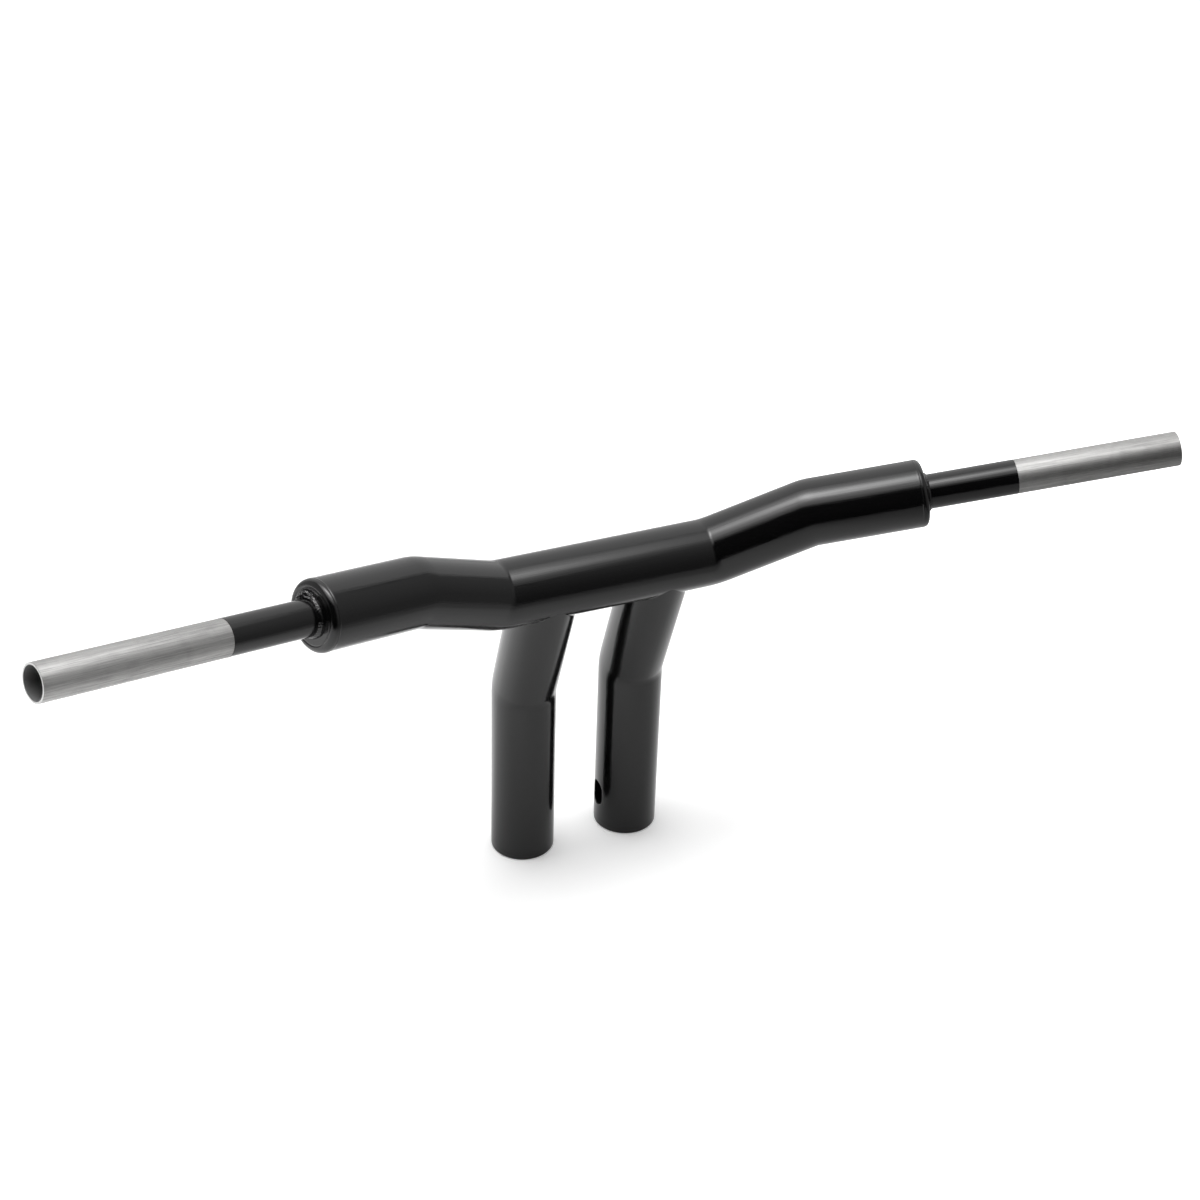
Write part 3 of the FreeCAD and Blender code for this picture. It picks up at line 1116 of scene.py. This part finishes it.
@dataclass
class EndPlug:
    """Turned plug that closes an arm, and the weld bead that holds the grip tube in it."""

    layout: Layout
    finishes: FinishRack
    side: Side
    segments: int = 160
    edge_radius: float = 4.0 * MM
    edge_steps: int = 16
    spigot_length: float = 16.0 * MM
    lip_height: float = 0.2 * MM
    lip_place: float = 1.5 * MM
    lip_width: float = 0.42 * MM
    lip_points: int = 15
    seam_radius: float = 19.7 * MM
    seam_width: float = 0.45 * MM
    seam_depth: float = 0.3 * MM
    seam_reach: float = 1.2 * MM
    seam_points: int = 17
    bead_columns: int = 481
    bead_rows: int = 25
    bead_middle: float = math.radians(45.0)
    bead_swing: float = math.radians(107.0)
    bead_edge: float = 0.479
    bead_seam: float = 0.001 * MM
    weld_leg: float = 3.6 * MM
    face_share: float = 0.58
    wander: float = 0.3
    wander_scale: float = 2.6
    wander_detail: float = 2.0
    ripple_count: float = 41.0
    ripple_depth: float = 0.03
    ripple_lag: float = -3.0
    ripple_drift: float = 14.0
    ripple_lean: float = -0.45
    lump_turn: float = 0.9
    lump: float = 0.6
    lump_tightness: float = 6.0
    lump_ripple: float = 4.0
    lump_swell: float = 0.5
    middle_seed: float = 3.0

    @property
    def bore(self) -> float:
        """Radius of the bore that takes the grip tube."""
        return self.layout.seat_radius + self.layout.fit_clearance

    def crown(self) -> list[tuple[float, float]]:
        """Outer end of the plug: the lip that is left of its weld, the rounded edge, and the seam in the face.

        Returns:
            Points of radius and length, from the arm tube's end to the bore.
        """
        outside, cap = self.layout.bar_radius, self.layout.plug_cap_length
        rounding = Shaper.arc((outside - self.edge_radius, cap - self.edge_radius), self.edge_radius, 0, 90,
                              self.edge_steps)
        lengths = np.linspace(0.0, cap - self.edge_radius, self.lip_points)
        lip = self.lip_height * np.exp(-((lengths - self.lip_place) / self.lip_width) ** 2)
        radii = np.linspace(self.seam_radius + self.seam_reach, self.seam_radius - self.seam_reach,
                            self.seam_points)
        seam = self.seam_depth * np.exp(-((radii - self.seam_radius) / self.seam_width) ** 2)
        return [*zip(outside + lip, lengths), *rounding[1:], *zip(radii, cap - seam), (self.bore, cap)]

    def build(self) -> None:
        """Turns the plug, lays the bead and shows both."""
        lay = self.layout
        spigot = lay.bar_radius - lay.tube_wall - lay.fit_clearance
        profile = [(self.bore, -self.spigot_length), (spigot, -self.spigot_length), (spigot, 0.0),
                   *self.crown()]
        along = self.side.place(lay.arm_heading)
        name = f"{self.side.word}_end_plug"
        plug = Shaper.turned(name, profile, self.side.place(lay.tube_end), along, self.segments)
        plug.data.materials.append(self.finishes.coat)
        show(plug, Slot.BLACK_COAT, name)
        self.lay_bead(along)

    def bead_tree(self) -> NodeShape:
        """Tree that bends a grid to a fillet round the tube, uneven and rippled, with a lump at its start.

        Returns:
            Finished tree.
        """
        shape = NodeShape("weld bead", ["Ring Radius", "Leg", "Face Share", "Ripples", "Ripple Depth", "Wander",
                                        "Lump Turn", "Lump", "Seed"])
        bench, sizes = shape.bench, shape.inputs
        grid = bench.add("GeometryNodeMeshGrid", {"Size X": 1.0, "Size Y": 1.0, "Vertices X": self.bead_columns,
                                                  "Vertices Y": self.bead_rows})
        place = bench.add("GeometryNodeInputPosition").outputs[0]
        parts = bench.add("ShaderNodeSeparateXYZ", {"Vector": place}).outputs
        turn = bench.times(bench.math("ADD", parts["X"], 0.5), 2 * math.pi)
        swing = bench.math("MULTIPLY_ADD", parts["Y"], self.bead_swing, self.bead_middle)
        outer = bench.math("LESS_THAN", bench.math("ABSOLUTE", parts["Y"]), self.bead_edge)
        cosine, sine = bench.math("COSINE", turn), bench.math("SINE", turn)
        rise, spread = bench.math("SINE", swing), bench.math("COSINE", swing)
        circle = bench.add("ShaderNodeCombineXYZ", {"X": cosine, "Y": sine, "Z": rise}).outputs["Vector"]
        slow = bench.add("ShaderNodeTexNoise",
                         {"Vector": circle, "W": sizes["Seed"], "Scale": self.wander_scale,
                          "Detail": self.wander_detail}, noise_dimensions="4D").outputs["Fac"]
        facing = bench.math("COSINE", bench.math("SUBTRACT", turn, sizes["Lump Turn"]))
        lump = bench.math("EXPONENT",
                          bench.math("MULTIPLY_ADD", facing, self.lump_tightness, -self.lump_tightness))
        swelling = bench.times(lump, sizes["Lump"])
        lag = bench.times(rise, spread, self.ripple_lag)
        phase = bench.math("ADD", bench.math("MULTIPLY_ADD", turn, sizes["Ripples"], lag),
                           bench.times(slow, self.ripple_drift))
        depth = bench.times(bench.math("MULTIPLY_ADD", lump, self.lump_ripple, slow), sizes["Ripple Depth"])
        lean = bench.math("SINE", bench.times(phase, 2.0))
        wave = bench.times(bench.math("MULTIPLY_ADD", lean, self.ripple_lean, bench.math("SINE", phase)), depth)
        drift = bench.times(bench.math("SUBTRACT", slow, 0.5), sizes["Wander"])
        swell = bench.math("MULTIPLY_ADD", swelling, self.lump_swell, drift)
        grown = bench.math("ADD", bench.math("ADD", swell, wave), 1.0)
        length = bench.times(grown, outer, sizes["Leg"])
        share = bench.math("ADD", swelling, sizes["Face Share"])
        out = bench.math("MULTIPLY_ADD", bench.times(length, spread), share, sizes["Ring Radius"])
        bent = bench.add("ShaderNodeCombineXYZ", {"X": bench.times(out, cosine), "Y": bench.times(out, sine),
                                                  "Z": bench.times(length, rise)}).outputs[0]
        moved = bench.add("GeometryNodeSetPosition", {"Geometry": grid.outputs["Mesh"], "Position": bent})
        joined = bench.add("GeometryNodeMergeByDistance",
                           {"Geometry": moved.outputs[0], "Distance": self.bead_seam})
        shape.close(joined.outputs[0])
        return shape

    def lay_bead(self, along: Point) -> None:
        """Lays the weld bead round the grip tube and shows it.

        Args:
            along: unit direction of the grip tube.
        """
        name = f"{self.side.word}_grip_weld"
        weld = Shaper.link(name, bpy.data.meshes.new(name))
        self.bead_tree().build(weld, {
            "Ring Radius": self.bore, "Leg": self.weld_leg, "Face Share": self.face_share,
            "Ripples": self.ripple_count, "Ripple Depth": self.ripple_depth, "Wander": self.wander,
            "Lump Turn": self.lump_turn, "Lump": self.lump, "Seed": self.middle_seed + self.side.value,
            "Material": self.finishes.coat})
        turned = Vector(UP).rotation_difference(Vector(along)).to_matrix().to_4x4()
        weld.data.transform(Matrix.Translation(Vector(self.side.place(self.layout.shoulder))) @ turned)
        Shaper.smooth(weld.data)
        show(weld, Slot.BLACK_COAT)


@dataclass
class GripTube:
    """Small tube that carries the controls: bare steel, coated from the plug to a masked line."""

    layout: Layout
    finishes: FinishRack
    side: Side
    segments: int = 128
    rows: int = 24
    seat_length: float = 22.5 * MM
    left_reach: float = 200.8 * MM
    right_reach: float = 188.1 * MM
    coat_length: float = 68.0 * MM
    under_weld: float = 1.0 * MM
    coat_thickness: float = 0.1 * MM
    mouth_chamfer: float = 0.2 * MM
    edge_chamfer: float = 0.2 * MM

    @property
    def reach(self) -> float:
        """Length of the tube beyond the plug, which is shorter on the throttle's side."""
        return self.left_reach if self.side is Side.LEFT else self.right_reach

    def build(self) -> None:
        """Turns the tube and its film of coating, and shows both."""
        skin, bore, seat = self.layout.grip_radius, self.layout.grip_bore_radius, self.layout.seat_radius
        base, along = self.side.place(self.layout.shoulder), self.side.place(self.layout.arm_heading)
        outside = np.linspace(self.under_weld, self.reach - self.edge_chamfer, self.rows)
        inside = np.linspace(self.reach - self.mouth_chamfer, -self.seat_length, self.rows)
        profile = [(seat, -self.seat_length), (seat, self.under_weld), *((skin, z) for z in outside),
                   (skin - self.edge_chamfer, self.reach), (bore + self.mouth_chamfer, self.reach),
                   *((bore, z) for z in inside)]
        name = f"{self.side.word}_grip_tube"
        tube = Shaper.turned(name, profile, base, along, self.segments)
        tube.data.materials.append(self.finishes.grip_steel)
        self.mark_cut(tube.data, [length == self.reach for _, length in profile])
        show(tube, Slot.BARE_STEEL, name)
        coated, start, end = skin + self.coat_thickness, self.under_weld, self.coat_length
        film = [(skin, start), (coated, start), (coated, end), (skin, end)]
        coat = Shaper.turned(f"{self.side.word}_grip_coating", film, base, along, self.segments)
        coat.data.materials.append(self.finishes.coat)
        show(coat, Slot.BLACK_COAT)

    def mark_cut(self, mesh: bpy.types.Mesh, cut: list[bool]) -> None:
        """Marks the bright face where the tube was cut off, from whether each ring lies on it."""
        shares = np.repeat(np.array(cut, np.float32), self.segments)
        mesh.attributes.new(CUT_END, "FLOAT", "POINT").data.foreach_set("value", shares)


@dataclass
class RiserBung:
    """Turned bung in a riser's foot, with the thread for its bolt."""

    layout: Layout
    finishes: FinishRack
    side: Side
    height: float = 16.0 * MM
    hole_radius: float = 6.35 * MM
    thread_pitch: float = 1.954 * MM
    thread_depth: float = 0.95 * MM
    thread_steps: int = 48
    ridge_sides: int = 6
    segments: int = 96

    def build(self) -> None:
        """Turns the bung, winds its thread and shows both."""
        outside = self.layout.riser_radius - self.layout.tube_wall - self.layout.fit_clearance
        inside, top = self.hole_radius, self.height
        profile = [(inside, 0.0), (outside, 0.0), (outside, top), (inside, top)]
        base = self.side.place(self.layout.foot)
        name = f"{self.side.word}_riser_bung"
        bung = Shaper.turned(name, profile, base, np.array(UP), self.segments)
        bung.data.materials.append(self.finishes.bung_steel)
        show(bung, Slot.BUNG_STEEL, name)
        self.wind_thread(base)

    def thread_tree(self) -> NodeShape:
        """Tree that sweeps a ridge along a helix.

        Returns:
            Finished tree.
        """
        shape = NodeShape("bolt thread", ["Radius", "Height", "Turns", "Ridge"])
        bench, sizes = shape.bench, shape.inputs
        helix = bench.add("GeometryNodeCurveSpiral",
                          {"Resolution": self.thread_steps, "Rotations": sizes["Turns"],
                           "Height": sizes["Height"], "Start Radius": sizes["Radius"],
                           "End Radius": sizes["Radius"]})
        ridge = bench.add("GeometryNodeCurvePrimitiveCircle",
                          {"Resolution": self.ridge_sides, "Radius": sizes["Ridge"]})
        wound = bench.add("GeometryNodeCurveToMesh", {"Curve": helix.outputs[0],
                                                      "Profile Curve": ridge.outputs[0], "Fill Caps": True})
        shape.close(wound.outputs[0])
        return shape

    def wind_thread(self, base: Point) -> None:
        """Winds the thread's ridge up the hole and shows it.

        Args:
            base: middle of the hole's mouth.
        """
        name = f"{self.side.word}_bolt_thread"
        thread = Shaper.link(name, bpy.data.meshes.new(name))
        run = self.height - 2 * self.thread_pitch
        self.thread_tree().build(thread, {
            "Radius": self.hole_radius, "Height": run, "Turns": run / self.thread_pitch,
            "Ridge": self.thread_depth, "Material": self.finishes.bung_steel})
        thread.data.transform(Matrix.Translation(Vector(base) + Vector(UP) * self.thread_pitch))
        Shaper.mark_places(thread.data, Shaper.places(thread.data) - base)
        show(thread, Slot.BUNG_STEEL)


@dataclass
class Studio:
    """White floor, a soft box overhead, a white backdrop with dim sides, and the camera.

    Places are measured across the camera's line of sight and away along it, from the part's origin.
    """

    floor_across: tuple[float, float] = (-1.45, 0.742)
    floor_away: tuple[float, float] = (-1.356, 6.0)
    floor_white: float = 0.97
    # Painted glow and painted light falloff: the floor glows for other surfaces, and its colour and glow fall
    # off towards the sides, far away and on the right.
    floor_painted_glow: float = 0.54
    floor_sides: Ramp = (-0.35, 0.5, 0.85, 0.42)
    floor_far_side: Ramp = (0.05, 0.5, 1.0, 0.8)
    floor_far_right: Ramp = (0.32, 0.45, 1.0, 0.7)
    floor_lift: Ramp = (0.35, 0.9, 0.2, 1.0)
    # Painted shadow: the floor's glow is darkened near the feet and in front of them.
    foot_shade: Ramp = (0.05, 0.45, 0.85, 0.0)
    foot_front: Ramp = (-0.02, 0.06, 1.0, 0.0)
    box_height: float = 1.45
    box_across: tuple[float, float] = (-1.3, 0.95)
    box_away: tuple[float, float] = (-1.06, 0.58)
    box_near: Ramp = (-1.055, -0.467, 0.0, 2.65)
    box_far: Ramp = (0.283, 0.783, 1.0, 0.0)
    box_left: Ramp = (-1.3, -0.7, 0.0, 1.0)
    box_right: Ramp = (-0.21, 1.365, 1.0, 0.0)
    core: float = 8.63
    core_middle: tuple[float, float] = (-0.064, -0.092)
    core_spread: tuple[float, float] = (0.311, 0.153)
    white: float = 1.08
    backdrop: float = 0.825
    backdrop_rise: float = 0.5
    backdrop_edge: Ramp = (math.radians(124.0), math.radians(132.0), 0.0, 1.0)
    right_wall: float = 0.275
    right_wall_rise: float = 0.34
    right_wall_edge: Ramp = (math.radians(25.0), math.radians(75.0), 0.0, 1.0)
    left_wall_edge: Ramp = (math.radians(-75.0), math.radians(-45.0), 0.55, 0.0)
    lens: float = 62.080968
    sensor: float = 36.0
    azimuth: float = math.radians(24.933883)
    elevation: float = math.radians(31.879779)
    roll: float = math.radians(1.873812)
    distance: float = 1.557448
    target: tuple[float, float, float] = (0.016792, 0.0, 0.211741)

    @property
    def across(self) -> Vector:
        """Level direction to the right of the camera's line of sight."""
        return Vector((math.cos(self.azimuth), -math.sin(self.azimuth), 0.0))

    @property
    def away(self) -> Vector:
        """Level direction of the camera's line of sight."""
        return Vector((math.sin(self.azimuth), math.cos(self.azimuth), 0.0))

    def bearings(self, bench: NodeBench, place: Socket) -> list[Socket]:
        """Reads how far a place or direction lies across and away.

        Args:
            bench: bench of the tree that needs them.
            place: socket with the place or direction.

        Returns:
            Sockets with the two figures.
        """
        return [bench.add("ShaderNodeVectorMath", {0: place, 1: axis}, operation="DOT_PRODUCT").outputs["Value"]
                for axis in (self.across, self.away)]

    def sheet(self, name: str, across: tuple[float, float], away: tuple[float, float], height: float,
              material: bpy.types.Material) -> bpy.types.Object:
        """Makes a level sheet of the studio.

        Args:
            name: name of the object.
            across: where it starts and ends to the right.
            away: where it starts and ends along the line of sight.
            height: height above the floor.
            material: what it is made of.

        Returns:
            New object in the scene.
        """
        corners = [self.across * across[p] + self.away * away[q] + Vector(UP) * height
                   for p, q in ((0, 0), (1, 0), (1, 1), (0, 1))]
        mesh = bpy.data.meshes.new(name)
        mesh.from_pydata(corners, [], [(0, 1, 2, 3)])
        mesh.materials.append(material)
        sheet = Shaper.link(name, mesh)
        return sheet

    def lay_floor(self) -> None:
        """Lays a white floor that the camera sees white, and that shows other surfaces a painted glow with a
        painted falloff of light far away and on its right.
        """
        material, bench, shader = Finish.start("white floor")
        place = bench.add("ShaderNodeTexCoord").outputs["Object"]
        across, away = self.bearings(bench, place)
        far = bench.add("ShaderNodeVectorMath", {0: place}, operation="LENGTH").outputs["Value"]
        seen = bench.add("ShaderNodeLightPath").outputs["Is Camera Ray"]
        # Painted light falloff towards the floor's sides, far away and on its right.
        painted_falloff = bench.times(bench.ramp(across, *self.floor_sides), bench.ramp(away, *self.floor_far_side),
                             bench.ramp(across, *self.floor_far_right))
        # Painted shadow near the feet and in front of them.
        shaded = bench.times(bench.ramp(far, *self.foot_shade), bench.ramp(away, *self.foot_front))
        # Painted glow that other surfaces see, with a painted shadow in front of the feet.
        glow = bench.times(painted_falloff, self.floor_painted_glow, bench.math("SUBTRACT", 1.0, shaded))
        lift = bench.ramp(far, *self.floor_lift)
        bench.feed(shader, {"Base Color": bench.mix(seen, painted_falloff, self.floor_white, "FLOAT"),
                            "Emission Strength": bench.mix(seen, glow, lift, "FLOAT"), "Emission Color": WHITE,
                            "Roughness": 1.0, "Specular IOR Level": 0.0})
        self.sheet("floor", self.floor_across, self.floor_away, 0.0, material)

    def hang_soft_box(self) -> None:
        """Hangs the soft box: a bright core within a dimmer sheet with soft edges."""
        material = bpy.data.materials.new("soft box")
        bench = NodeBench.cleared(material)
        across, away = self.bearings(bench, bench.add("ShaderNodeTexCoord").outputs["Object"])
        offsets = [bench.math("MULTIPLY_ADD", place, 1.0 / spread, -middle / spread)
                   for place, middle, spread in zip((across, away), self.core_middle, self.core_spread)]
        core = bench.times(bench.math("EXPONENT", bench.times(bench.square_sum(*offsets), -0.5)), self.core)
        soft = bench.times(bench.ramp(away, *self.box_near), bench.ramp(away, *self.box_far),
                           bench.ramp(across, *self.box_left), bench.ramp(across, *self.box_right))
        lamp = bench.add("ShaderNodeEmission", {"Strength": bench.math("ADD", core, soft)})
        bench.add("ShaderNodeOutputMaterial", {"Surface": lamp.outputs[0]})
        box = self.sheet("soft_box", self.box_across, self.box_away, self.box_height, material)
        box.visible_camera = False

    def light(self) -> None:
        """Lights the scene from round about: a white backdrop, dim sides and a dark front."""
        world = bpy.data.worlds.new("studio")
        bpy.context.scene.world = world
        bench = NodeBench.cleared(world)
        way = bench.add("ShaderNodeTexCoord").outputs["Generated"]
        across, away = self.bearings(bench, way)
        side = bench.math("ARCTAN2", across, bench.times(away, -1.0))
        up = bench.math("MAXIMUM", bench.add("ShaderNodeSeparateXYZ", {"Vector": way}).outputs["Z"], 0.0)
        back = bench.times(bench.math("MULTIPLY_ADD", up, self.backdrop_rise, self.backdrop),
                           bench.ramp(bench.math("ABSOLUTE", side), *self.backdrop_edge))
        right = bench.times(bench.math("MULTIPLY_ADD", up, self.right_wall_rise, self.right_wall),
                            bench.ramp(side, *self.right_wall_edge))
        left = bench.ramp(side, *self.left_wall_edge)
        glow = bench.math("MAXIMUM", back, bench.math("MAXIMUM", right, left))
        seen = bench.add("ShaderNodeLightPath").outputs["Is Camera Ray"]
        shown = bench.mix(seen, glow, self.white, "FLOAT")
        sky = bench.add("ShaderNodeBackground", {"Color": WHITE, "Strength": shown})
        bench.add("ShaderNodeOutputWorld", {"Surface": sky.outputs[0]})
        bpy.context.scene.view_settings.view_transform = "Standard"

    def place_camera(self) -> None:
        """Puts the camera where the photograph was taken from."""
        flat = math.cos(self.elevation)
        back = Vector(UP) * math.sin(self.elevation) - self.away * flat
        right = (-back).cross(Vector(UP)).normalized()
        up = right.cross(-back)
        level, tilt = math.cos(self.roll), math.sin(self.roll)
        axes = Matrix((right * level + up * tilt, up * level - right * tilt, back)).transposed().to_4x4()
        data = bpy.data.cameras.new("camera")
        data.lens = self.lens
        data.sensor_fit = "HORIZONTAL"
        data.sensor_width = self.sensor
        camera = bpy.data.objects.new("camera", data)
        camera.matrix_world = Matrix.Translation(Vector(self.target) + back * self.distance) @ axes
        bpy.context.scene.collection.objects.link(camera)
        bpy.context.scene.camera = camera

    def build(self) -> None:
        """Sets up floor, lights and camera."""
        self.lay_floor()
        self.hang_soft_box()
        self.light()
        self.place_camera()


def main() -> None:
    """Builds every sub-assembly, then the studio."""
    logging.basicConfig(level=logging.INFO, format="%(name)s: %(message)s")
    layout, finishes = Layout(), FinishRack()
    Crossbar(layout, finishes).build()
    for side in Side:
        Riser(layout, finishes, side).build()
        RiserBung(layout, finishes, side).build()
        EndPlug(layout, finishes, side).build()
        GripTube(layout, finishes, side).build()
    Studio().build()


if __name__ == "__main__":
    main()
